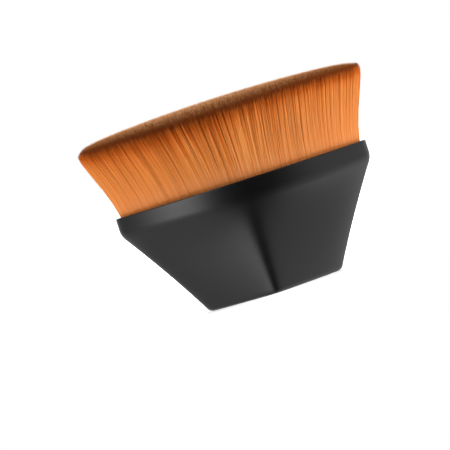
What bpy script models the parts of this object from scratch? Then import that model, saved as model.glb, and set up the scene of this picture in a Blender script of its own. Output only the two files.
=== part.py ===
"""Liquid foundation brush: a palm-sized, eye-shaped brush with a dense flared tuft.

Metres, +Z up. The brush stands on its flat base, with the origin at the base's centre.
X runs along the brush and -Y is its front, where the ridge of the handle faces the viewer.
"""

import math

import bmesh
import bpy
from mathutils import Vector
from mathutils.geometry import delaunay_2d_cdt

# Handle, outside
RIM_HALF_WIDTH = 0.0274
RIM_HALF_DEPTH = 0.0120
BASE_HALF_WIDTH = 0.01445
BASE_HALF_DEPTH = 0.0090
HANDLE_HEIGHT = 0.02445
BAND_HEIGHT = 0.00375
SHOULDER_HEIGHT = HANDLE_HEIGHT - BAND_HEIGHT
WIDTH_SLOPE_AT_BASE = 0.56
SHOULDER_ROUND = 0.0012
SHOULDER_SAG = 0.0004
SAG_POWER = 4
BASE_ROUND = 0.0007
RIM_ROUND = 0.0003

# Section law: flat faces that meet in a narrow ridge at the base turn into one arc at the band
RIDGE_SOFT = 0.075
BAND_SOFT = 0.9
BAND_BLEND_POWER = 6
BASE_END = 0.20
BAND_END = 0.35
SIDES = 72

# Inside of the handle, as insets from the outside form
GAP = 0.0003
LIP = 0.00095
CUP_WALL = 0.00075
CHAMBER_INSET = 0.0032
SEAT_HEIGHT = 0.0161
CHAMBER_FLOOR = 0.0024
RIB_THICKNESS = 0.0013
RIB_SPACING = 0.0140

# Cup, adhesive and heel
CUP_FLOOR = 0.0012
GLUE_THICKNESS = 0.0010
HEEL_THICKNESS = 0.0020
CUP_INSET = LIP + GAP
HOLD_INSET = CUP_INSET + CUP_WALL
HEEL_INSET = HOLD_INSET + GAP
CUP_BOTTOM = SEAT_HEIGHT + GAP
GLUE_BOTTOM = CUP_BOTTOM + CUP_FLOOR + GAP
HEEL_BOTTOM = GLUE_BOTTOM + GLUE_THICKNESS + GAP
HEEL_TOP = HEEL_BOTTOM + HEEL_THICKNESS

# Tuft: flared strands whose tips end on a low dome
TIP_HALF_WIDTH = 0.0312
TIP_HALF_DEPTH = 0.0132
CROWN_HEIGHT = 0.0425
CROWN_RADIUS_ALONG = 0.326
CROWN_RADIUS_ACROSS = 0.063
CROWN_EDGE_DROP = 0.0010
CROWN_EDGE_POWER = 10
STRAND_WIDTH = 0.00095
STRAND_DEPTH = 0.00085
STRAND_PITCH = 0.00135
STRAND_RINGS = 9
STRAND_MARGIN = 0.0001
OUTER_RING_INSET = STRAND_DEPTH / 3
INNER_RING_INSET = STRAND_DEPTH * 0.82
TWIN_REACH = STRAND_DEPTH * 0.67
RING_SIDES = 240
TAPER_START = 0.93
TIP_SCALE = 0.55
FILL_SCALE = 0.001
FILL_TOLERANCE = 1e-5
TINY = 1e-6


def lerp(low, high, t):
    return low + (high - low) * t


def make_material(name, colour, roughness):
    """A plain Principled material; colour is linear RGB."""
    material = bpy.data.materials.new(name)
    material.use_nodes = True
    shader = material.node_tree.nodes["Principled BSDF"]
    shader.inputs["Base Color"].default_value = (*colour, 1.0)
    shader.inputs["Roughness"].default_value = roughness
    return material


def add_object(name, bm, material, parent):
    """Turns a bmesh into a named object, smooth except at its real edges."""
    bmesh.ops.recalc_face_normals(bm, faces=bm.faces)
    mesh = bpy.data.meshes.new(name)
    bm.to_mesh(mesh)
    bm.free()
    mesh.materials.append(material)
    mesh.shade_smooth()
    mesh.set_sharp_from_angle(angle=math.radians(35))
    piece = bpy.data.objects.new(name, mesh)
    bpy.context.collection.objects.link(piece)
    piece.parent = parent
    return piece


# Handle form

def half_width(z):
    """Side outline of the handle: a slightly hollow taper, then the upright band."""
    if z >= SHOULDER_HEIGHT:
        return RIM_HALF_WIDTH
    straight = BASE_HALF_WIDTH + WIDTH_SLOPE_AT_BASE * SHOULDER_HEIGHT
    hollow = (RIM_HALF_WIDTH - straight) * (z / SHOULDER_HEIGHT) ** 2
    return BASE_HALF_WIDTH + WIDTH_SLOPE_AT_BASE * z + hollow


def half_depth(z):
    """The same outline seen from the end of the brush."""
    t = min(z / SHOULDER_HEIGHT, 1.0)
    return lerp(BASE_HALF_DEPTH, RIM_HALF_DEPTH, t)


def shape(z):
    """How far a section has turned from the base's form to the band's, and how soft its ends are."""
    t = min(z / SHOULDER_HEIGHT, 1.0)
    return t ** BAND_BLEND_POWER, lerp(BASE_END, BAND_END, t)


def soften(value, soft):
    """A hyperbola from 0 to 1: a straight line when soft is small, a parabola when it is large."""
    return (math.hypot(value, soft) - soft) / (math.hypot(1, soft) - soft)


def unsoften(value, soft):
    """The inverse of soften."""
    reach = value * (math.hypot(1, soft) - soft) + soft
    return math.sqrt(max(0.0, reach * reach - soft * soft))


def fall(s, blend):
    """How far a section has fallen, 0 to 1, at s: flat faces from a ridge, blended with one arc."""
    return lerp(soften(s, RIDGE_SOFT), soften(s, BAND_SOFT), blend)


def section_depth(s, form):
    """Half-depth of a section, 1 to 0, at s from 0 at the ridge to 1 at the pointed end."""
    blend, end = form
    return unsoften(1 - fall(s, blend), end)


def section(width, depth, form, z, sides=SIDES):
    """Points of one closed horizontal section, from +X anticlockwise."""
    points = []
    for step in range(sides):
        along = math.cos(2 * math.pi * step / sides)
        s = along * along
        y = depth * section_depth(s, form)
        x = math.copysign(width * s, along)
        points.append(Vector((x, y if step < sides / 2 else -y, z)))
    return points


def handle_section(z, inset=0.0):
    """The handle's own section at height z, drawn in by an inset."""
    return section(half_width(z) - inset, half_depth(z) - inset, shape(z), z)


def outside_section(z, inset=0.0):
    """The section bent down in its middle near the shoulder, where the band's edge sags a little."""
    below = min(z / SHOULDER_HEIGHT, 1.0) ** SAG_POWER
    above = min((HANDLE_HEIGHT - z) / BAND_HEIGHT, 1.0)
    ring = handle_section(z, inset)
    for point in ring:
        s = point.x / RIM_HALF_WIDTH
        point.z -= SHOULDER_SAG * below * above * (1 - s * s)
    return ring


def moved_to(ring, z):
    return [Vector((point.x, point.y, z)) for point in ring]


def levels(low, high, count):
    """Evenly spaced values from low to high, both included."""
    return [lerp(low, high, step / (count - 1)) for step in range(count)]


def add_wall(bm, rings):
    """Skins a row of rings with quads and leaves both ends open."""
    loops = [[bm.verts.new(point) for point in ring] for ring in rings]
    for lower, upper in zip(loops, loops[1:]):
        for i in range(len(lower)):
            bm.faces.new((lower[i - 1], lower[i], upper[i], upper[i - 1]))
    return loops


def loft(rings):
    """A closed body through a row of rings; the first and last ring are capped."""
    bm = bmesh.new()
    loops = add_wall(bm, rings)
    bm.faces.new(loops[0][::-1])
    bm.faces.new(loops[-1])
    return bm


def quarter_round(radius, count):
    """Inset and rise of points round a quarter circle, from the flat face to the upright one."""
    turns = levels(0, math.pi / 2, count)
    return [(radius * (1 - math.sin(turn)), radius * (1 - math.cos(turn))) for turn in turns]


def blended_ring(corner, t):
    """A ring on the quadratic curve that rounds the corner between three rings."""
    return [low.lerp(mid, t).lerp(mid.lerp(high, t), t) for low, mid, high in zip(*corner)]


def handle_outside():
    """Rings from the flat base up to the rim, with the base, shoulder and rim rounded."""
    below = SHOULDER_HEIGHT - SHOULDER_ROUND
    above = SHOULDER_HEIGHT + SHOULDER_ROUND
    rings = [outside_section(rise, inset) for inset, rise in quarter_round(BASE_ROUND, 4)]
    rings += [outside_section(z) for z in levels(BASE_ROUND, below, 14)[1:]]
    corner = [outside_section(z) for z in (below, SHOULDER_HEIGHT, above)]
    rings += [blended_ring(corner, t) for t in levels(0, 1, 6)[1:]]
    for inset, drop in reversed(quarter_round(RIM_ROUND, 3)):
        rings.append(moved_to(handle_section(HANDLE_HEIGHT, inset), HANDLE_HEIGHT - drop))
    return rings


def handle_inside():
    """Rings from the rim's inner edge down the pocket, over the seat and down to the floor."""
    rings = [handle_section(HANDLE_HEIGHT, LIP)]
    rings.append(handle_section(SHOULDER_HEIGHT, LIP))
    for z in levels(SEAT_HEIGHT, SHOULDER_HEIGHT, 4)[2::-1]:
        rings.append(handle_section(z, LIP))
    for z in levels(CHAMBER_FLOOR, SEAT_HEIGHT, 6)[::-1]:
        rings.append(handle_section(z, CHAMBER_INSET))
    return rings


def rib(x):
    """A plate across the chamber at x, its edge buried in the middle of the wall."""
    bm = bmesh.new()
    outline = []
    heights = levels(CHAMBER_FLOOR - CHAMBER_INSET / 4, SEAT_HEIGHT - GAP, 5)
    for z in heights:
        inset = CHAMBER_INSET / 2
        s = abs(x) / (half_width(z) - inset)
        depth = (half_depth(z) - inset) * section_depth(s, shape(z))
        outline.append(Vector((x - RIB_THICKNESS / 2, depth, z)))
    mirrored = [Vector((point.x, -point.y, point.z)) for point in reversed(outline)]
    face = bm.faces.new([bm.verts.new(point) for point in outline + mirrored])
    grown = bmesh.ops.extrude_face_region(bm, geom=[face])
    corners = [item for item in grown["geom"] if isinstance(item, bmesh.types.BMVert)]
    bmesh.ops.translate(bm, verts=corners, vec=(RIB_THICKNESS, 0, 0))
    return bm


def join_solid(target, tool):
    """Fuses a tool into a target, and keeps the tool only as a hidden guide."""
    tool.hide_render = True
    tool.display_type = "WIRE"
    union = target.modifiers.new(f"fuse_{tool.name}", "BOOLEAN")
    union.operation = "UNION"
    union.solver = "EXACT"
    union.object = tool


def build_handle(root):
    plastic = make_material("black_plastic", (0.022, 0.022, 0.024), 0.42)
    shell = add_object("handle_shell", loft(handle_outside() + handle_inside()), plastic, root)
    for side, x in (("left", -RIB_SPACING / 2), ("right", RIB_SPACING / 2)):
        guide = add_object(f"{side}_rib_guide", rib(x), plastic, root)
        join_solid(shell, guide)


# Cup and adhesive

def build_cup(root):
    """A thin tray with the handle's own form, drawn in to drop on to the seat."""
    plastic = make_material("grey_plastic", (0.10, 0.10, 0.105), 0.5)
    rings = [handle_section(z, CUP_INSET) for z in levels(CUP_BOTTOM, HEEL_TOP, 5)]
    rings += [handle_section(z, HOLD_INSET) for z in levels(CUP_BOTTOM + CUP_FLOOR, HEEL_TOP, 5)[::-1]]
    add_object("tuft_cup", loft(rings), plastic, root)


def build_glue(root):
    resin = make_material("cured_adhesive", (0.62, 0.52, 0.30), 0.3)
    rings = [handle_section(z, HEEL_INSET) for z in levels(GLUE_BOTTOM, GLUE_BOTTOM + GLUE_THICKNESS, 2)]
    add_object("glue_bed", loft(rings), resin, root)


# Tuft

def root_size():
    """Half width and half depth of the patch that the strands stand on."""
    inset = HEEL_INSET + STRAND_MARGIN
    return half_width(HEEL_TOP) - inset, half_depth(HEEL_TOP) - inset


def spread(point):
    """Where a strand rooted at a point of the heel's top ends, on the dome of the tips."""
    root_width, root_depth = root_size()
    x = point.x * TIP_HALF_WIDTH / root_width
    y = point.y * TIP_HALF_DEPTH / root_depth
    reach = min(abs(x) / TIP_HALF_WIDTH, 1.0)
    limit = TIP_HALF_DEPTH * section_depth(reach, shape(HEEL_TOP))
    edge = max(reach, min(abs(y) / max(limit, TINY), 1.0))
    z = CROWN_HEIGHT - x * x / (2 * CROWN_RADIUS_ALONG) - y * y / (2 * CROWN_RADIUS_ACROSS)
    return Vector((x, y, z - CROWN_EDGE_DROP * edge ** CROWN_EDGE_POWER))


def evenly_spaced(outline, count, offset):
    """Count points at equal distances along a closed outline, with the tangent at each."""
    lengths = [(outline[i - 1] - outline[i]).length for i in range(1, len(outline))]
    lengths.append((outline[-1] - outline[0]).length)
    spacing = sum(lengths) / count
    places = []
    walked = 0.0
    wanted = offset * spacing
    for i, length in enumerate(lengths):
        start, end = outline[i], outline[(i + 1) % len(outline)]
        while wanted < walked + length and len(places) < count:
            t = (wanted - walked) / length
            places.append((start.lerp(end, t), (end - start).normalized()))
            wanted += spacing
        walked += length
    return places


def strand_places():
    """Root places, ring by ring from the tuft's edge to its middle line."""
    root_width, root_depth = root_size()
    arc_radius = (root_width ** 2 + root_depth ** 2) / (2 * root_depth)
    form = shape(HEEL_TOP)
    places = []
    for ring, inset in enumerate(levels(OUTER_RING_INSET, root_depth - INNER_RING_INSET, STRAND_RINGS)):
        left = 1 - inset / root_depth
        narrowing = math.sqrt(left * (1 - inset / (2 * arc_radius - root_depth)))
        outline = section(root_width * narrowing, root_depth * left, form, HEEL_TOP, RING_SIDES)
        around = sum((outline[i - 1] - outline[i]).length for i in range(len(outline)))
        count = 2 * round(around / STRAND_PITCH / 2)
        for place, tangent in evenly_spaced(outline, count, offset=0.5 * (ring % 2)):
            meets_twin = 0 < abs(place.y) < TWIN_REACH
            if not (meets_twin and place.y < 0):
                places.append((place, tangent))
    return places


def strand_rings(place, tangent):
    """The three triangles that a strand runs through: root, start of taper and tip."""
    outward = Vector((tangent.y, -tangent.x, 0))
    face = place + outward * STRAND_DEPTH / 3
    corners = [
        face + tangent * STRAND_WIDTH / 2,
        place - outward * STRAND_DEPTH * 2 / 3,
        face - tangent * STRAND_WIDTH / 2,
    ]
    tips = [spread(corner) for corner in corners]
    shoulder = [corner.lerp(tip, TAPER_START) for corner, tip in zip(corners, tips)]
    anchor = (tips[0] + tips[2]) / 2
    point = [anchor.lerp(tip, TIP_SCALE) for tip in tips]
    return [corners, shoulder, point]


def fill_between(bm, outlines):
    """Fills the heel's top between its own outline, the first, and the strands' roots."""
    verts = [vert for outline in outlines for vert in outline]
    flat = [Vector((vert.co.x, vert.co.y)) / FILL_SCALE for vert in verts]
    loops = []
    owner = []
    for number, outline in enumerate(outlines):
        loops.append(range(len(owner), len(owner) + len(outline)))
        owner += [number] * len(outline)
    _, _, faces, _, _, _ = delaunay_2d_cdt(flat, [], [list(loop) for loop in loops], 1, FILL_TOLERANCE)
    for face in faces:
        owners = {owner[i] for i in face}
        if len(owners) > 1 or owners == {0}:
            bm.faces.new([verts[i] for i in face])


def build_tuft(root):
    """The heel slab with every strand growing out of its top as one fused body."""
    nylon = make_material("bristle_filament", (0.60, 0.22, 0.07), 0.45)
    bm = bmesh.new()
    bottom, top = add_wall(bm, [handle_section(z, HEEL_INSET) for z in (HEEL_BOTTOM, HEEL_TOP)])
    bm.faces.new(bottom[::-1])
    outlines = [top]
    places = strand_places()
    for place, tangent in places:
        loops = add_wall(bm, strand_rings(place, tangent))
        bm.faces.new(loops[-1])
        outlines.append(loops[0])
    fill_between(bm, outlines)
    add_object("bristle_tuft", bm, nylon, root)
    print(f"{len(places)} strands")


def main():
    for piece in list(bpy.data.objects):
        bpy.data.objects.remove(piece, do_unlink=True)
    root = bpy.data.objects.new("brush_frame", None)
    bpy.context.collection.objects.link(root)
    build_handle(root)
    build_cup(root)
    build_glue(root)
    build_tuft(root)


main()
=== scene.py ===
"""Looks of the liquid foundation brush: the satin black handle and the dense tuft of filaments."""

import math
from typing import NamedTuple

import bpy
import numpy as np
from mathutils import Matrix, Vector
from mathutils.kdtree import KDTree


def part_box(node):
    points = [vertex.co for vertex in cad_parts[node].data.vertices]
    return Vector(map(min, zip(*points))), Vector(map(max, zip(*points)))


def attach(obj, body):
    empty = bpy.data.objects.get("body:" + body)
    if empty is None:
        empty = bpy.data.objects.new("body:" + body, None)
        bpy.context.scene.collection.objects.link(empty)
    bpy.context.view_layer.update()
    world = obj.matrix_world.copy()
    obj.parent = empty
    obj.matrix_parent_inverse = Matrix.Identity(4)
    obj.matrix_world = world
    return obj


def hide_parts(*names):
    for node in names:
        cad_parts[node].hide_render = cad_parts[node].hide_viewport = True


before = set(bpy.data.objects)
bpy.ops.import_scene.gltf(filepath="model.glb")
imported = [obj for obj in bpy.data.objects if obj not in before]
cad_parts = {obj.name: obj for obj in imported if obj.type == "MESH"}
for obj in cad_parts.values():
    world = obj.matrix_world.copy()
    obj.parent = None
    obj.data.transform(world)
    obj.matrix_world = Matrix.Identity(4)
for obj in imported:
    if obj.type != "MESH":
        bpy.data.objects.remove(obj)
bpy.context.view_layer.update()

MM = 0.001

# Main sizes, read from the lowest and highest corners of the frame's nodes
tuft_low, tuft_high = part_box("bristle_tuft")
TIP_HALF_WIDTH, TIP_HALF_DEPTH, CROWN_HEIGHT = tuft_high
RIM_HALF_WIDTH, RIM_HALF_DEPTH, RIM_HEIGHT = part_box("handle_shell")[1]
HEEL_BOTTOM = tuft_low.z
HEEL_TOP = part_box("tuft_cup")[1].z

# Handle form, as the CAD builds it
BAND_HEIGHT = 3.75 * MM
SHOULDER_HEIGHT = RIM_HEIGHT - BAND_HEIGHT
BASE_HALF_WIDTH = 14.45 * MM
BASE_HALF_DEPTH = 9.0 * MM
WIDTH_SLOPE_AT_BASE = 0.56
SHOULDER_ROUND = 1.2 * MM
BASE_ROUND = 0.7 * MM
RIM_ROUND = 0.3 * MM
RIDGE_SOFT = 0.075
BAND_SOFT = 0.9
BAND_BLEND_POWER = 6
BASE_END = 0.20
BAND_END = 0.35
SHOULDER_SAG = 0.4 * MM
SAG_POWER = 4
LIP = 0.95 * MM
SEAT_HEIGHT = 16.1 * MM
HEEL_INSET = 2.3 * MM

# Steps of the handle's mesh
SIDES = 288
BASE_STEPS = 7
FACE_STEPS = 40
SHOULDER_STEPS = 13
BAND_STEPS = 3
RIM_STEPS = 5
SHARP_ANGLE = math.radians(50)

# Dome of the tips
CROWN_RADIUS_ALONG = 326 * MM
CROWN_RADIUS_ACROSS = 63 * MM
CROWN_EDGE_DROP = 0.8 * MM
CROWN_EDGE_POWER = 8
LIP_DROP = 0.7 * MM
LIP_POWER = 150
CORNER_DROP = 0.9 * MM
CORNER_START = 0.94
CORNER_POWER = 1.5

# Where the filaments stand, in shares of the tuft's half-width and half-depth
SEED = 7
PITCH = 0.125 * MM
ROW_STEP = 0.866
GRID_JITTER = 0.3
GRID_LIMIT = 0.985
EDGE_ROWS = (1.0, 0.993, 0.985)
EDGE_PITCH = 0.095 * MM
EDGE_JITTER = 0.12
EDGE_SIDES = 2000
CORNER_FILAMENTS = 16
CORNER_REACH = 0.955
CORNER_SPREAD = 0.004

# How the filaments flare and lean
FLARE_HEIGHTS = (0.0, 0.18, 0.32, 0.41, 0.60, 0.78, 0.90, 1.0)
FLARE_WIDTHS = (0.0, 0.205, 0.297, 0.378, 0.570, 0.786, 0.920, 1.0)
SPLAY_WIDE = 0.024
SPLAY_MIDDLE = 0.016
SPLAY_LEFT = 0.019
SPLAY_AT_ROOT = -0.5
SPLAY_AT_TIP = 0.5
SPLAY_LEAST_DEPTH = 0.05
SPLAY_MOST_STRETCH = 1.2
FILAMENT_LEAN = 0.06 * MM
FILAMENT_BEND = 2.0
LEAN_DEPTH = 0.35
KEEP_INSIDE_PASSES = 3
KEEP_INSIDE_POWER = 0.9

# Form of one filament, and the heel and core that close the tuft
RADIUS = 0.072 * MM
RADIUS_SPREAD = 0.12
TURN_SPREAD = 0.2
TIP_SCATTER = 0.03 * MM
TAPER_LENGTH = 0.12
SKIN_DEPTH = 0.80
OUTER_STATIONS = (0.0, 0.18, 0.36, 0.57, 0.76, 0.90)
OUTER_PIECES = 3
INNER_STATIONS = (0.57, 0.8, 0.93)
INNER_PIECES = 4
HEEL_STEPS = 3
CORE_SIZE = 0.90
CORE_TOP = 0.72
CORE_STEPS = 8
CORE_SIDES = 96


class Clump(NamedTuple):
    """One size of clump, in which the tips stay together.

    Clumps stand a spacing apart. Their tips draw in by the grip and lean, following the power of height
    that bend gives. Tone, dye and height vary from clump to clump by tone, dye and sink, and a clump's
    mark of tone fades towards the root by a power of height between the two in powers.
    """
    spacing: float
    grip: float
    lean: float
    bend: float
    tone: float
    dye: float
    sink: float
    powers: tuple


CLUMPS = (
    Clump(spacing=2.4 * MM, grip=0.05, lean=0.08 * MM, bend=3.0,
          tone=0.03, dye=0.025, sink=0.0, powers=(0.7, 3.0)),
    Clump(spacing=0.6 * MM, grip=0.13, lean=0.20 * MM, bend=1.8,
          tone=0.025, dye=0.015, sink=0.06 * MM, powers=(0.3, 1.4)),
    Clump(spacing=0.24 * MM, grip=0.0, lean=0.20 * MM, bend=1.4,
          tone=0.175, dye=0.175, sink=0.08 * MM, powers=(0.6, 2.6)),
)
CLUMP_JITTER = 0.45
CLUMP_LIMIT = 1.1
DARKEST_MARK = -2.3
GAP_SHADE = 0.5
GAP_START = 0.3

# How clumps vary along the tuft: calmer towards its ends, with longer marks in its middle
CALM_MIDDLE = 0.06
CALM_START = 0.25
CALM_ENDS = 0.92
MIDDLE_LENGTH = 0.65
MIDDLE_WIDTH = 0.33

# Tone and dye, with the dye shorter at the ends and fading faster at the sides and on the right, and
# painted shade that darkens the dome's rim
MEAN_TONE = 0.55
OWN_TONE = 0.05
OWN_TONE_AT_ROOT = 0.35
DYE_AND_SHADE_LENGTH = 16 * MM
# Painted shade: the tips near the dome's outline are darkened as if dyed further down, where the dome turns
# away from the light.
RIM_PAINTED_SHADE = 0.11 * MM
RIM_PAINTED_SHADE_POWER = 6
END_START = 0.93
END_DYE_LOSS = 0.55
FADE_START = 0.6
FADE_LOSS = 13.0
RIGHT_START = 0.1
RIGHT_END = 0.5
RIGHT_LOSS = 16.0
PLAIN_DEPTH = 0.75
DIP = 0.16
DIP_MIDDLE = -0.4
DIP_WIDTH = 0.35
BAKE_SPAN = 0.98
BAKE_MARGIN = 0.01

# Photograph's frame and camera
FRAME_PIXELS = 450
MM_PER_PIXEL = 0.209
SENSOR_WIDTH = 36.0
CAMERA_DISTANCE = 550 * MM
CAMERA_HEIGHT = 37 * MM
ROLL = math.radians(17.8)
AIM = Vector((-5.99 * MM, 0, 16.34 * MM))

# Stage
FLOOR_REACH = 3
FLOOR_FRONT = -60 * MM
FLOOR_LIFT = 0.3
FLOOR_NEAR = 40 * MM
FLOOR_FAR = 200 * MM
LAMP_AIM = Vector((0, 0, 22 * MM))

# Studio that the handle mirrors: each span is azimuth, inner and outer angle, in degrees
OPENING = (5, 17, 44)
OPENING_HEIGHTS = (-34, -6)
OPENING_DEPTHS = (0.72, 0.99)
STRIP = (-42, 2, 13)
STRIP_HEIGHTS = (-29, -7)
STRIP_LIGHT = 3.6
LEFT_WALL = (-95, 18, 42)
LEFT_WALL_HEIGHTS = (-32, -5)
LEFT_WALL_DEPTHS = (0.20, 0.48)
RIGHT_WALL = (90, 12, 34)
RIGHT_WALL_HEIGHTS = (-36, -12)
RIGHT_WALL_GLOW = 0.65
RIGHT_WALL_DEPTH = 0.15
WORLD_FILL = 0.61


def lerp(low, high, t):
    return low + (high - low) * t


def rise(value, start, end):
    """0 up to the start and 1 from the end on, with a straight rise between them."""
    return np.clip((value - start) / (end - start), 0, 1)


def levels(low, high, count):
    return [lerp(low, high, step / (count - 1)) for step in range(count)]


# Handle form

def half_width(z):
    if z >= SHOULDER_HEIGHT:
        return RIM_HALF_WIDTH
    straight = BASE_HALF_WIDTH + WIDTH_SLOPE_AT_BASE * SHOULDER_HEIGHT
    hollow = (RIM_HALF_WIDTH - straight) * (z / SHOULDER_HEIGHT) ** 2
    return BASE_HALF_WIDTH + WIDTH_SLOPE_AT_BASE * z + hollow


def half_depth(z):
    return lerp(BASE_HALF_DEPTH, RIM_HALF_DEPTH, min(z / SHOULDER_HEIGHT, 1.0))


def shape(z):
    """How much a section has turned from the base's ridged form to the band's, and its ends' softness."""
    t = min(z / SHOULDER_HEIGHT, 1.0)
    return t ** BAND_BLEND_POWER, lerp(BASE_END, BAND_END, t)


def soften(value, soft):
    """A straight rise from 0 to 1 whose start is rounded, so that two of them meet without an edge."""
    return (np.hypot(value, soft) - soft) / (math.hypot(1, soft) - soft)


def unsoften(value, soft):
    """The value that soften turns into the given one."""
    reach = value * (math.hypot(1, soft) - soft) + soft
    return np.sqrt(np.maximum(0.0, reach * reach - soft * soft))


def fall(s, blend):
    """How far a section has fallen from its middle, 0 to 1: two flat faces, blended with one arc."""
    return lerp(soften(s, RIDGE_SOFT), soften(s, BAND_SOFT), blend)


def section_depth(s, form):
    """Half-depth of a section, 1 to 0, at s from 0 at the ridge to 1 at the pointed end."""
    blend, end = form
    return unsoften(1 - fall(s, blend), end)


def section(width, depth, form, z, sides=SIDES):
    """Points of one closed horizontal section, from +X anticlockwise, one row each."""
    step = np.arange(sides)
    along = np.cos(2 * math.pi * step / sides)
    s = along * along
    y = depth * section_depth(s, form)
    x = np.copysign(width * s, along)
    return np.column_stack((x, np.where(step < sides / 2, y, -y), np.full(sides, z)))


def handle_section(z, inset=0.0):
    return section(half_width(z) - inset, half_depth(z) - inset, shape(z), z)


def outer_section(z, inset=0.0):
    """The section bent down in its middle near the shoulder, so that the band's edge sags a little."""
    ring = handle_section(z, inset)
    s = np.abs(ring[:, 0]) / RIM_HALF_WIDTH
    below = min(z / SHOULDER_HEIGHT, 1.0) ** SAG_POWER
    above = min((RIM_HEIGHT - z) / BAND_HEIGHT, 1.0)
    ring[:, 2] -= SHOULDER_SAG * below * above * (1 - s * s)
    return ring


def handle_rings():
    """Rings from the flat base up the outside, over the rim and down inside the lip."""
    rings = []
    for angle in np.radians(levels(0, 90, BASE_STEPS)):
        height = BASE_ROUND * (1 - math.cos(angle))
        inset = BASE_ROUND * (1 - math.sin(angle))
        rings.append(outer_section(height, inset))
    below = SHOULDER_HEIGHT - SHOULDER_ROUND
    above = SHOULDER_HEIGHT + SHOULDER_ROUND
    for z in levels(BASE_ROUND, below, FACE_STEPS)[1:]:
        rings.append(outer_section(z))
    low, mid, high = (outer_section(z) for z in (below, SHOULDER_HEIGHT, above))
    for t in levels(0, 1, SHOULDER_STEPS)[1:]:
        rings.append(lerp(lerp(low, mid, t), lerp(mid, high, t), t))
    for z in levels(above, RIM_HEIGHT - RIM_ROUND, BAND_STEPS)[1:]:
        rings.append(outer_section(z))
    for angle in np.radians(levels(0, 90, RIM_STEPS)[1:]):
        ring = handle_section(RIM_HEIGHT, RIM_ROUND * (1 - math.cos(angle)))
        ring[:, 2] = RIM_HEIGHT - RIM_ROUND * (1 - math.sin(angle))
        rings.append(ring)
    rings.append(handle_section(RIM_HEIGHT, LIP - RIM_ROUND / 2))
    ring = handle_section(RIM_HEIGHT, LIP)
    ring[:, 2] = RIM_HEIGHT - RIM_ROUND / 2
    rings.append(ring)
    for z in (SHOULDER_HEIGHT, SEAT_HEIGHT):
        rings.append(handle_section(z, LIP))
    return rings


def mesh_object(name, vertices, faces, material, smooth=True):
    mesh = bpy.data.meshes.new(name)
    mesh.from_pydata(vertices, [], faces)
    mesh.materials.append(material)
    if smooth:
        mesh.shade_smooth()
    piece = bpy.data.objects.new(name, mesh)
    bpy.context.scene.collection.objects.link(piece)
    return piece


def skin(rings):
    """Vertices and quads through a row of equal rings, both ends capped."""
    count = len(rings[0])
    vertices = np.concatenate(rings)
    faces = []
    for level in range(len(rings) - 1):
        low, high = level * count, (level + 1) * count
        for i in range(count):
            j = (i + 1) % count
            faces.append((low + i, low + j, high + j, high + i))
    faces.append(tuple(range(count))[::-1])
    faces.append(tuple(range(len(vertices) - count, len(vertices))))
    return vertices.tolist(), faces


# Materials

class Nodes:
    """A short way to write a material's node tree."""

    def __init__(self, name):
        self.material = bpy.data.materials.new(name)
        self.material.use_nodes = True
        self.tree = self.material.node_tree
        self.shader = self.tree.nodes["Principled BSDF"]

    def add(self, kind, **settings):
        """A new node, with its properties or the plain values of its inputs set by name."""
        node = self.tree.nodes.new(kind)
        for key, value in settings.items():
            if hasattr(node, key):
                setattr(node, key, value)
            else:
                node.inputs[key.replace("_", " ")].default_value = value
        return node

    def link(self, source, target):
        self.tree.links.new(source, target)

    def ramp(self, source, stops):
        """The colour of a ramp, whose stops are position and colour, at the source's value."""
        node = self.tree.nodes.new("ShaderNodeValToRGB")
        elements = node.color_ramp.elements
        while len(elements) < len(stops):
            elements.new(0.5)
        for element, (position, colour) in zip(elements, stops):
            element.position = position
            element.color = (*colour, 1.0)
        self.link(source, node.inputs["Fac"])
        return node.outputs["Color"]

    def grey_ramp(self, source, low, high):
        """A ramp between two greys, each given as its position and level."""
        return self.ramp(source, [(position, (level,) * 3) for position, level in (low, high)])

    def noise(self, place, **settings):
        node = self.add("ShaderNodeTexNoise", **settings)
        self.link(place, node.inputs["Vector"])
        return node.outputs["Fac"]

    def combine(self, operation, first, second):
        """The result of a sum, product or the like of two values."""
        node = self.add("ShaderNodeMath", operation=operation)
        self.link(first, node.inputs[0])
        self.link(second, node.inputs[1])
        return node.outputs[0]

    def vector(self, operation, first, second=None):
        """The result of a vector operation, whose second term is a socket or plain numbers."""
        node = self.add("ShaderNodeVectorMath", operation=operation)
        self.link(first, node.inputs[0])
        if isinstance(second, bpy.types.NodeSocket):
            self.link(second, node.inputs[1])
        elif second is not None:
            node.inputs[1].default_value = second
        return node.outputs["Value" if operation in ("DOT_PRODUCT", "LENGTH") else "Vector"]

    def step(self, value, edges, results=(0.0, 1.0)):
        """Soft step from the first result to the second as the value passes the two edges."""
        node = self.add("ShaderNodeMapRange", interpolation_type="SMOOTHSTEP")
        self.link(value, node.inputs["Value"])
        names = ("From Min", "From Max", "To Min", "To Max")
        for name, number in zip(names, (*edges, *results)):
            node.inputs[name].default_value = number
        return node.outputs["Result"]

    def bump(self, source, strength, distance):
        """Raise the shader's surface by the source's value."""
        node = self.add("ShaderNodeBump", Strength=strength, Distance=distance)
        self.link(source, node.inputs["Height"])
        self.link(node.outputs["Normal"], self.shader.inputs["Normal"])


def handle_material():
    """Satin black moulding: near-black, with a fine soft-touch grain and faint uneven gloss."""
    n = Nodes("satin_black")
    place = n.add("ShaderNodeTexCoord").outputs["Object"]
    n.shader.inputs["Specular IOR Level"].default_value = 0.5
    cloud = n.noise(place, Scale=120.0, Detail=4.0, Roughness=0.55)
    colour = n.ramp(cloud, ((0.3, (0.0021, 0.0021, 0.0023)), (0.7, (0.0028, 0.0028, 0.0030))))
    n.link(colour, n.shader.inputs["Base Color"])
    n.link(n.grey_ramp(cloud, (0.25, 0.30), (0.75, 0.34)), n.shader.inputs["Roughness"])
    grain = n.noise(place, Scale=5200.0, Detail=2.0, Roughness=0.6)
    n.bump(grain, strength=0.12, distance=0.04 * MM)
    return n.material


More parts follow.
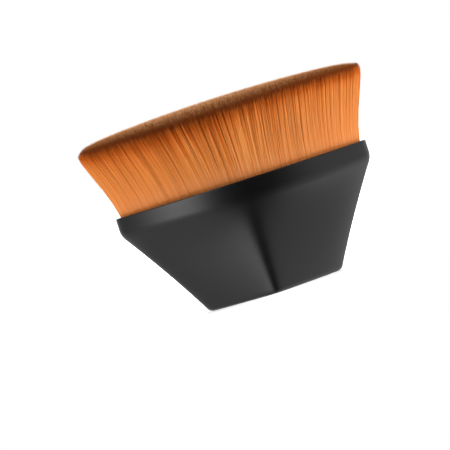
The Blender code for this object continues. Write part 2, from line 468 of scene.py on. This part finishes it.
def filament_material():
    """Orange filament with a dark brown dyed tip, painted light at the tip's end and painted shade at the
    root; tone varies from one to the next.
    """
    n = Nodes("filament")
    tone = n.add("ShaderNodeAttribute", attribute_name="tone").outputs["Fac"]
    tip = n.add("ShaderNodeAttribute", attribute_name="from_tip").outputs["Fac"]
    along = n.ramp(tip, (
        # The palest stops, at the tip's very end, are painted light: they make the dome's top lighter,
        # where light falls on it from above.
        (0.000, (0.800, 0.660, 0.500)),
        (0.008, (0.880, 0.640, 0.450)),
        (0.016, (0.640, 0.345, 0.178)),
        (0.030, (0.270, 0.122, 0.046)),
        (0.055, (0.205, 0.062, 0.013)),
        (0.081, (0.254, 0.060, 0.009)),
        (0.107, (0.400, 0.105, 0.017)),
        (0.133, (0.515, 0.137, 0.020)),
        (0.163, (0.620, 0.170, 0.023)),
        (0.216, (0.750, 0.208, 0.032)),
        (0.268, (0.850, 0.280, 0.058)),
        (0.373, (0.940, 0.352, 0.088)),
        (0.550, (0.960, 0.402, 0.112)),
        (0.740, (0.948, 0.413, 0.135)),
        (0.900, (0.948, 0.435, 0.175)),
        # From here to the root the colour darkens: painted shade where the filaments enter the handle's
        # rim.
        (0.955, (0.920, 0.410, 0.160)),
        (0.990, (0.680, 0.280, 0.100)),
    ))
    tint = n.ramp(tone, (
        (0.00, (0.55, 0.22, 0.05)),
        (0.30, (0.74, 0.46, 0.20)),
        (0.55, (0.86, 0.69, 0.52)),
        (0.80, (0.95, 0.88, 0.85)),
        (1.00, (1.00, 1.00, 1.00)),
    ))
    n.link(n.vector("MULTIPLY", along, tint), n.shader.inputs["Base Color"])
    n.link(n.grey_ramp(tone, (0.2, 0.60), (0.9, 0.42)), n.shader.inputs["Roughness"])
    n.shader.inputs["Specular IOR Level"].default_value = 0.06
    place = n.add("ShaderNodeCombineXYZ")
    n.link(tone, place.inputs["X"])
    n.link(tip, place.inputs["Y"])
    ripple = n.noise(place.outputs["Vector"], Scale=90.0, Detail=2.0, Roughness=0.5)
    n.bump(ripple, strength=0.3, distance=0.02 * MM)
    return n.material


def plain_material(name, dark, light, scale, roughness):
    """A hidden moulding or resin: two close tones in soft clouds, from glossier to duller."""
    n = Nodes(name)
    cloud = n.noise(n.add("ShaderNodeTexCoord").outputs["Object"], Scale=scale, Detail=3.0)
    n.link(n.ramp(cloud, ((0.3, dark), (0.7, light))), n.shader.inputs["Base Color"])
    duller = roughness * 1.25
    n.link(n.grey_ramp(cloud, (0.3, roughness), (0.7, duller)), n.shader.inputs["Roughness"])
    n.bump(cloud, strength=0.2, distance=0.05 * MM)
    return n.material


# Tuft

ROOT_SIZE = np.array((half_width(HEEL_TOP), half_depth(HEEL_TOP))) - HEEL_INSET
TIP_SIZE = np.array((TIP_HALF_WIDTH, TIP_HALF_DEPTH))
TUFT_FORM = shape(HEEL_TOP)


def inside_eye(x, y):
    """How far out unit points lie: 1 on the tuft's outline, less inside."""
    blend, end = TUFT_FORM
    return fall(np.abs(x), blend) + soften(np.abs(y), end)


def jittered_grid(pitch, jitter, limit, rng):
    """Unit points in staggered rows, each moved a little, that lie inside the eye."""
    step, row = pitch
    points = []
    for number, y in enumerate(np.arange(-1, 1 + row, row * ROW_STEP)):
        x = np.arange(-1, 1 + step, step) + step / 2 * (number % 2)
        points.append(np.column_stack((x, np.full(len(x), y))))
    points = np.concatenate(points)
    points += rng.uniform(-jitter, jitter, points.shape) * pitch
    return points[inside_eye(points[:, 0], points[:, 1]) < limit]


def edge_row(rng):
    """Unit points along the outline, so that the tuft's outside is closed and even."""
    ring = section(*ROOT_SIZE, TUFT_FORM, 0, sides=EDGE_SIDES)[:, :2]
    lengths = np.linalg.norm(np.roll(ring, -1, axis=0) - ring, axis=1)
    walked = np.concatenate(([0], np.cumsum(lengths)))
    wanted = np.arange(0, walked[-1], EDGE_PITCH)
    wanted = wanted + rng.uniform(-EDGE_JITTER, EDGE_JITTER, len(wanted)) * EDGE_PITCH
    closed = np.vstack((ring, ring[:1]))
    return np.column_stack([np.interp(wanted, walked, closed[:, axis]) for axis in (0, 1)]) / ROOT_SIZE


def filament_spots(rng):
    """Unit points where filaments stand: a grid, a few in the two pointed ends, and rows at the edge."""
    grid = jittered_grid(PITCH / ROOT_SIZE, GRID_JITTER, GRID_LIMIT, rng)
    edges = [edge_row(rng) * size for size in EDGE_ROWS]
    reach = np.linspace(CORNER_REACH, 1.0, CORNER_FILAMENTS)
    x = np.concatenate((reach, -reach))
    y = rng.normal(0, CORNER_SPREAD, len(x))
    return np.vstack([grid, np.column_stack((x, y))] + edges)


def crown(x, y):
    """Height of the dome of tips above points of the tip plane."""
    out = np.clip(inside_eye(x / TIP_HALF_WIDTH, y / TIP_HALF_DEPTH), 0, 1)
    arc = x * x / (2 * CROWN_RADIUS_ALONG) + y * y / (2 * CROWN_RADIUS_ACROSS)
    return CROWN_HEIGHT - arc - CROWN_EDGE_DROP * out ** CROWN_EDGE_POWER


def lip(x, y):
    """How much lower the tips of the outermost filaments end."""
    out = np.clip(inside_eye(x / TIP_HALF_WIDTH, y / TIP_HALF_DEPTH), 0, 1)
    corner = rise(-x / TIP_HALF_WIDTH, CORNER_START, 1)
    return np.maximum(LIP_DROP * out ** LIP_POWER, CORNER_DROP * corner ** CORNER_POWER)


def splay(unit, amount):
    """Unit points moved along the tuft, as the filaments of its middle lean out more than its flare."""
    turn = math.pi * unit[:, 0]
    shift = SPLAY_WIDE * np.sin(turn) + SPLAY_MIDDLE * np.sin(2 * turn) - SPLAY_LEFT * np.sin(turn) ** 2
    moved = unit[:, 0] + amount * shift
    before, after = (section_depth(np.clip(np.abs(s), 0, 1), TUFT_FORM) for s in (unit[:, 0], moved))
    stretch = np.minimum(after / np.maximum(before, SPLAY_LEAST_DEPTH), SPLAY_MOST_STRETCH)
    return np.column_stack((moved, unit[:, 1] * stretch))


def gather(points, spacing, rng):
    """For each tip point, the middle of the clump it leans to and that clump's number, and their count."""
    centres = jittered_grid(spacing / TIP_SIZE, CLUMP_JITTER, CLUMP_LIMIT, rng) * TIP_SIZE
    tree = KDTree(len(centres))
    for number, (x, y) in enumerate(centres):
        tree.insert((x, y, 0), number)
    tree.balance()
    nearest = np.array([tree.find((x, y, 0))[1] for x, y in points])
    return centres[nearest], nearest, len(centres)


class Filaments:
    """Root, tip, lean, tone and dye of every filament, and the painted shade at the dome's rim."""

    def __init__(self, rng):
        unit = filament_spots(rng)
        count = len(unit)
        root_room = 1 - RADIUS / ROOT_SIZE[1]
        self.root = splay(unit, SPLAY_AT_ROOT) * root_room * ROOT_SIZE
        self.tip = splay(unit, SPLAY_AT_TIP) * TIP_SIZE
        self.out = inside_eye(unit[:, 0], unit[:, 1])
        self.tone = rng.normal(MEAN_TONE, OWN_TONE, count)
        self.marks = []
        self.pulls = []
        self.drop = np.zeros(count)
        dye = sum(self.join_clumps(clump, rng) for clump in CLUMPS)
        self.pulls.append((rng.normal(0, FILAMENT_LEAN, (count, 2)) * (1, LEAN_DEPTH), FILAMENT_BEND))
        self.vary_along(unit[:, 0], dye)
        self.drop += np.abs(rng.normal(0, TIP_SCATTER, count))
        self.turn = math.pi / 2 + rng.normal(0, TURN_SPREAD, count)
        self.radius = RADIUS * rng.uniform(1 - RADIUS_SPREAD, 1 + RADIUS_SPREAD, count)
        end = self.place(1.0)
        self.dome = crown(end[:, 0], end[:, 1])
        # Painted shade on the dome's rim, growing towards the outline.
        self.rim_painted_shade = RIM_PAINTED_SHADE * np.clip(self.out, 0, 1) ** RIM_PAINTED_SHADE_POWER
        self.height = self.dome - lip(end[:, 0], end[:, 1]) - self.drop

    def join_clumps(self, clump, rng):
        """Give each filament its clump's pull, mark and sunk tip, and return its share of the dye."""
        middle, number, clumps = gather(self.tip, clump.spacing, rng)
        lean = rng.normal(0, clump.lean, (clumps, 2))[number] * (1, LEAN_DEPTH)
        grip = rng.uniform(0, clump.grip, clumps)[number]
        self.pulls.append(((middle - self.tip) * grip[:, None] + lean, clump.bend))
        off = np.linalg.norm(middle - self.tip, axis=1) / clump.spacing
        mark = np.maximum(np.euler_gamma - rng.gumbel(0, 1, clumps), DARKEST_MARK)[number]
        power = rng.uniform(*clump.powers, clumps)[number]
        gap = GAP_SHADE * grip * np.clip(off - GAP_START, 0, 1)
        self.marks.append((clump.tone * mark - gap, power))
        self.drop += clump.sink * np.maximum(-mark, 0)
        return clump.dye * mark

    def vary_along(self, s, dye):
        """Set the dye's fading, and the strength and length of marks and pulls, by place along the tuft."""
        ends = rise(np.abs(s), END_START, 1)
        dip = DIP * np.exp(-((s - DIP_MIDDLE) / DIP_WIDTH) ** 2)
        self.dye_speed = np.exp(dye) * (1 - dip) / (1 - END_DYE_LOSS * ends)
        sides, right = rise(np.abs(s), FADE_START, 1), rise(s, RIGHT_START, RIGHT_END)
        self.fade_loss = FADE_LOSS * sides + RIGHT_LOSS * right
        calm = 1 - CALM_ENDS * rise(np.abs(s - CALM_MIDDLE), CALM_START, 1)
        longer = 1 - MIDDLE_LENGTH * np.exp(-(s / MIDDLE_WIDTH) ** 2)
        self.marks = [(mark * calm, power * longer) for mark, power in self.marks]
        self.pulls = [(pull * calm[:, None], power) for pull, power in self.pulls]

    def place(self, t):
        """Where the filaments stand at t, 0 at the root and 1 at the tip, kept inside the outline."""
        flare = float(np.interp(t, FLARE_HEIGHTS, FLARE_WIDTHS))
        at = lerp(self.root, self.tip, flare)
        for pull, power in self.pulls:
            at = at + pull * t ** power
        size = lerp(ROOT_SIZE, TIP_SIZE, flare)
        for _ in range(KEEP_INSIDE_PASSES):
            unit = np.abs(at) / size
            over = inside_eye(unit[:, 0], unit[:, 1])
            at = at / np.maximum(over, 1.0)[:, None] ** KEEP_INSIDE_POWER
        return at


def filament_corners(filaments, chosen, stations):
    """Corners of three-sided filaments that taper to a point, and each corner's tone."""
    count = int(chosen.sum())
    turn, radius = filaments.turn[chosen], filaments.radius[chosen]
    height, tone = filaments.height[chosen], filaments.tone[chosen]
    marks = [(mark[chosen], power[chosen]) for mark, power in filaments.marks]
    corners = np.empty((count, len(stations) * 3 + 1, 3))
    shade = np.empty(corners.shape[:2])
    for ring, t in enumerate(stations + (1.0,)):
        middle = np.column_stack((filaments.place(t)[chosen], lerp(HEEL_TOP, height, t)))
        own = (tone - MEAN_TONE) * lerp(OWN_TONE_AT_ROOT, 1.0, t)
        level = np.clip(MEAN_TONE + own + sum(mark * t ** power for mark, power in marks), 0, 1)
        reach = radius * min(1.0, (1 - t) / TAPER_LENGTH)
        for side in range(3 if t < 1 else 1):
            angle = turn + side * 2 * math.pi / 3
            outward = np.column_stack((np.cos(angle), np.sin(angle), np.zeros(count)))
            corners[:, ring * 3 + side] = middle + outward * reach[:, None]
            shade[:, ring * 3 + side] = level
    return corners, shade


def dye_and_shade_depth(filaments, chosen, heights):
    """How far down the dyed length each corner lies, from 0 at the tip to 1, which also places the painted
    shade at the root and on the dome's rim.
    """
    top = (filaments.dome + filaments.rim_painted_shade)[chosen][:, None]
    down = np.clip((top - heights) / DYE_AND_SHADE_LENGTH, 0, 1)
    speed = filaments.dye_speed[chosen][:, None]
    loss = filaments.fade_loss[chosen][:, None]
    faded = down * (1 + (speed - 1) * (1 - down) ** 2 + loss * down ** 2 * (1 - down) ** 3)
    # A fast fade stops short of the painted shade at the root.
    return np.minimum(faded, np.maximum(down, PLAIN_DEPTH))


def filament_faces(count, rings):
    """Quads up the sides of every filament, and triangles at its root and its tip."""
    sides = [(side, (side + 1) % 3) for side in range(3)]
    last = (rings - 1) * 3
    quads = [(low + a, low + b, low + b + 3, low + a + 3) for low in range(0, last, 3) for a, b in sides]
    triangles = [(2, 1, 0)] + [(last + a, last + b, last + 3) for a, b in sides]
    first = np.arange(count)[:, None, None] * (rings * 3 + 1)
    return (first + np.array(quads)).reshape(-1, 4), (first + np.array(triangles)).reshape(-1, 3)


def filament_object(name, filaments, chosen, stations, material):
    """One mesh of the chosen filaments, which carries their tone and distance from the tip."""
    corners, shade = filament_corners(filaments, chosen, stations)
    down = dye_and_shade_depth(filaments, chosen, corners[:, :, 2])
    quads, triangles = filament_faces(len(corners), len(stations))
    loops = np.concatenate((quads.ravel(), triangles.ravel()))
    sizes = np.concatenate((np.full(len(quads), 4), np.full(len(triangles), 3)))
    starts = np.concatenate(([0], np.cumsum(sizes)[:-1]))
    mesh = bpy.data.meshes.new(name)
    mesh.vertices.add(shade.size)
    mesh.vertices.foreach_set("co", corners.astype(np.float32).ravel())
    mesh.loops.add(len(loops))
    mesh.loops.foreach_set("vertex_index", loops.astype(np.int32))
    mesh.polygons.add(len(sizes))
    mesh.polygons.foreach_set("loop_start", starts.astype(np.int32))
    mesh.update(calc_edges=True)
    for key, values in (("from_tip", down), ("tone", shade)):
        attribute = mesh.attributes.new(key, "FLOAT", "POINT")
        attribute.data.foreach_set("value", values.astype(np.float32).ravel())
    layer = mesh.uv_layers.new(name="OFBake")
    uv = np.column_stack((shade.ravel()[loops], down.ravel()[loops])) * BAKE_SPAN + BAKE_MARGIN
    layer.data.foreach_set("uv", uv.astype(np.float32).ravel())
    mesh.materials.append(material)
    mesh.shade_smooth()
    piece = bpy.data.objects.new(name, mesh)
    bpy.context.scene.collection.objects.link(piece)
    return piece


def stand_for_tuft(piece):
    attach(piece, "root")
    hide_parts("bristle_tuft")


def build_filaments():
    """Outer filaments from root to tip, and inner ones from where they can be seen, in strips."""
    filaments = Filaments(np.random.default_rng(SEED))
    material = filament_material()
    across = filaments.root[:, 0]
    for kind, own, stations, pieces in (
        ("outer", filaments.out >= SKIN_DEPTH, OUTER_STATIONS, OUTER_PIECES),
        ("inner", filaments.out < SKIN_DEPTH, INNER_STATIONS, INNER_PIECES),
    ):
        edges = np.quantile(across[own], np.linspace(0, 1, pieces + 1))
        strip = np.clip(np.searchsorted(edges, across, side="right") - 1, 0, pieces - 1)
        for number in range(pieces):
            name = f"filaments_{kind}_{number + 1}"
            stand_for_tuft(filament_object(name, filaments, own & (strip == number), stations, material))


def build_heel_and_core():
    """Fused slab that holds the filaments, and the core that closes the tuft's middle, whose dark brown is
    painted shade inside the tuft.
    """
    material = plain_material("fused_heel_and_core_shade", (0.20, 0.07, 0.02), (0.34, 0.13, 0.04), 900.0, 0.5)
    heel_rings = [handle_section(z, HEEL_INSET) for z in levels(HEEL_BOTTOM, HEEL_TOP, HEEL_STEPS)]
    stand_for_tuft(mesh_object("filament_heel", *skin(heel_rings), material=material, smooth=False))
    # The core takes the heel's dark brown: painted shade between the filaments.
    core_rings = []
    for t in levels(0, CORE_TOP, CORE_STEPS):
        size = lerp(ROOT_SIZE, TIP_SIZE, t) * CORE_SIZE
        z = lerp(HEEL_TOP, CROWN_HEIGHT, t)
        core_rings.append(section(*size, TUFT_FORM, z, sides=CORE_SIDES))
    stand_for_tuft(mesh_object("filament_core", *skin(core_rings), material=material))


def build_handle():
    handle = mesh_object("handle", *skin(handle_rings()), material=handle_material())
    handle.data.set_sharp_from_angle(angle=SHARP_ANGLE)
    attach(handle, "root")
    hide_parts("handle_shell")


def dress_hidden_nodes():
    finishes = {
        "tuft_cup": plain_material("cup_moulding", (0.085, 0.085, 0.09), (0.12, 0.12, 0.125), 700.0, 0.5),
        "glue_bed": plain_material("cured_resin", (0.50, 0.40, 0.20), (0.66, 0.56, 0.34), 400.0, 0.3),
    }
    for name, material in finishes.items():
        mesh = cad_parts[name].data
        mesh.materials.clear()
        mesh.materials.append(material)


# Stage, light and camera

def shown(n):
    """1 for rays from the camera and for reflected or refracted ones, 0 for scattered light."""
    path = n.add("ShaderNodeLightPath").outputs
    mirrored = n.combine("MAXIMUM", path["Is Glossy Ray"], path["Is Transmission Ray"])
    return n.combine("MAXIMUM", path["Is Camera Ray"], mirrored)


def floor_material():
    """White floor, lifted to the white of the background, with the object's shadow kept."""
    n = Nodes("floor_white")
    n.shader.inputs["Base Color"].default_value = (0.80, 0.80, 0.80, 1)
    n.shader.inputs["Roughness"].default_value = 0.9
    n.shader.inputs["Specular IOR Level"].default_value = 0.0
    n.shader.inputs["Emission Color"].default_value = (1, 1, 1, 1)
    away = n.vector("LENGTH", n.add("ShaderNodeTexCoord").outputs["Object"])
    lift = n.step(away, (FLOOR_NEAR, FLOOR_FAR), (FLOOR_LIFT, 1.0))
    n.link(n.combine("MULTIPLY", lift, shown(n)), n.shader.inputs["Emission Strength"])
    return n.material


def build_floor():
    left, right, back = -FLOOR_REACH, FLOOR_REACH, FLOOR_REACH
    corners = [(left, FLOOR_FRONT, 0), (right, FLOOR_FRONT, 0), (right, back, 0), (left, back, 0)]
    floor = mesh_object("floor", corners, [(0, 1, 2, 3)], material=floor_material(), smooth=False)
    floor.visible_glossy = False


def heading(azimuth, elevation):
    """Unit vector away from the brush, at an azimuth from the front, positive to the right."""
    turn, tilt = math.radians(azimuth), math.radians(elevation)
    return Vector((math.sin(turn) * math.cos(tilt), -math.cos(turn) * math.cos(tilt), math.sin(tilt)))


class WorldNodes(Nodes):
    """The same short way to write the world's node tree."""

    def __init__(self, name):
        self.world = bpy.data.worlds.new(name)
        self.world.use_nodes = True
        self.tree = self.world.node_tree
        self.tree.nodes.clear()

    def gap(self, level, span):
        """1 near a span's azimuth, at any height, fading to 0 from its inner to its outer angle."""
        azimuth, inner, outer = span
        facing = self.vector("DOT_PRODUCT", level, heading(azimuth, 0))
        return self.step(facing, [math.cos(math.radians(angle)) for angle in (outer, inner)])

    def total(self, start, values):
        """A number plus several values."""
        node = self.add("ShaderNodeMath", operation="ADD")
        node.inputs[0].default_value = start
        self.link(values[0], node.inputs[1])
        total = node.outputs[0]
        for value in values[1:]:
            total = self.combine("ADD", total, value)
        return total


def sines(elevations):
    return [math.sin(math.radians(angle)) for angle in elevations]


def build_world():
    """White studio tent with a strip of light on the left, open and dark in front of the brush."""
    n = WorldNodes("studio")
    bpy.context.scene.world = n.world
    direction = n.add("ShaderNodeTexCoord").outputs["Generated"]
    level = n.vector("NORMALIZE", n.vector("MULTIPLY", direction, (1, 1, 0)))
    height = n.vector("DOT_PRODUCT", direction, (0, 0, 1))
    dark = n.step(height, sines(OPENING_HEIGHTS), [-depth for depth in OPENING_DEPTHS])
    strip = n.step(height, sines(STRIP_HEIGHTS), (0.0, STRIP_LIGHT))
    left = n.step(height, sines(LEFT_WALL_HEIGHTS), [-depth for depth in LEFT_WALL_DEPTHS])
    right = n.step(height, sines(RIGHT_WALL_HEIGHTS), (RIGHT_WALL_GLOW, -RIGHT_WALL_DEPTH))
    spans = ((OPENING, dark), (STRIP, strip), (LEFT_WALL, left), (RIGHT_WALL, right))
    light = n.total(1.0, [n.combine("MULTIPLY", n.gap(level, span), change) for span, change in spans])
    tent, fill, seen = (n.add("ShaderNodeBackground") for _ in range(3))
    for background in (tent, fill, seen):
        background.inputs["Color"].default_value = (1, 1, 1, 1)
    n.link(light, tent.inputs["Strength"])
    fill.inputs["Strength"].default_value = WORLD_FILL
    reflected = n.add("ShaderNodeMixShader")
    n.link(shown(n), reflected.inputs["Fac"])
    n.link(fill.outputs["Background"], reflected.inputs[1])
    n.link(tent.outputs["Background"], reflected.inputs[2])
    direct = n.add("ShaderNodeMixShader")
    n.link(n.add("ShaderNodeLightPath").outputs["Is Camera Ray"], direct.inputs["Fac"])
    n.link(reflected.outputs["Shader"], direct.inputs[1])
    n.link(seen.outputs["Background"], direct.inputs[2])
    n.link(direct.outputs["Shader"], n.add("ShaderNodeOutputWorld").inputs["Surface"])


def softbox(name, azimuth, elevation, distance, size, radiance):
    """Soft lamp of a given radiance that lights the brush but isn't mirrored in it."""
    width, height = size
    data = bpy.data.lights.new(name, "AREA")
    data.shape = "RECTANGLE"
    data.size = width
    data.size_y = height
    data.energy = radiance * math.pi * width * height
    lamp = bpy.data.objects.new(name, data)
    lamp.location = LAMP_AIM + heading(azimuth, elevation) * distance
    lamp.rotation_euler = (LAMP_AIM - lamp.location).to_track_quat("-Z", "Y").to_euler()
    lamp.visible_glossy = False
    bpy.context.scene.collection.objects.link(lamp)


def build_lights():
    softbox("side_left", azimuth=-84, elevation=20, distance=0.55, size=(0.40, 0.40), radiance=2.8)
    softbox("side_right", azimuth=82, elevation=22, distance=0.55, size=(0.45, 0.45), radiance=3.8)
    softbox("top", azimuth=0, elevation=85, distance=0.70, size=(0.80, 0.80), radiance=1.7)
    softbox("back", azimuth=180, elevation=22, distance=0.60, size=(0.60, 0.30), radiance=7.0)


def build_camera():
    """Camera square to the brush's front and rolled, so that the brush leans as photographed."""
    data = bpy.data.cameras.new("camera")
    data.sensor_fit = "HORIZONTAL"
    data.sensor_width = SENSOR_WIDTH
    data.lens = SENSOR_WIDTH * CAMERA_DISTANCE / (FRAME_PIXELS * MM_PER_PIXEL * MM)
    data.clip_start = 0.01
    data.clip_end = 20
    camera = bpy.data.objects.new("camera", data)
    place = Vector((AIM.x, -CAMERA_DISTANCE, CAMERA_HEIGHT))
    look = (AIM - place).to_track_quat("-Z", "Y").to_matrix().to_4x4()
    camera.matrix_world = Matrix.Translation(place) @ look @ Matrix.Rotation(-ROLL, 4, "Z")
    bpy.context.scene.collection.objects.link(camera)
    bpy.context.scene.camera = camera


build_handle()
build_filaments()
build_heel_and_core()
dress_hidden_nodes()
build_floor()
build_world()
build_lights()
build_camera()
bpy.context.scene.view_settings.view_transform = "Standard"
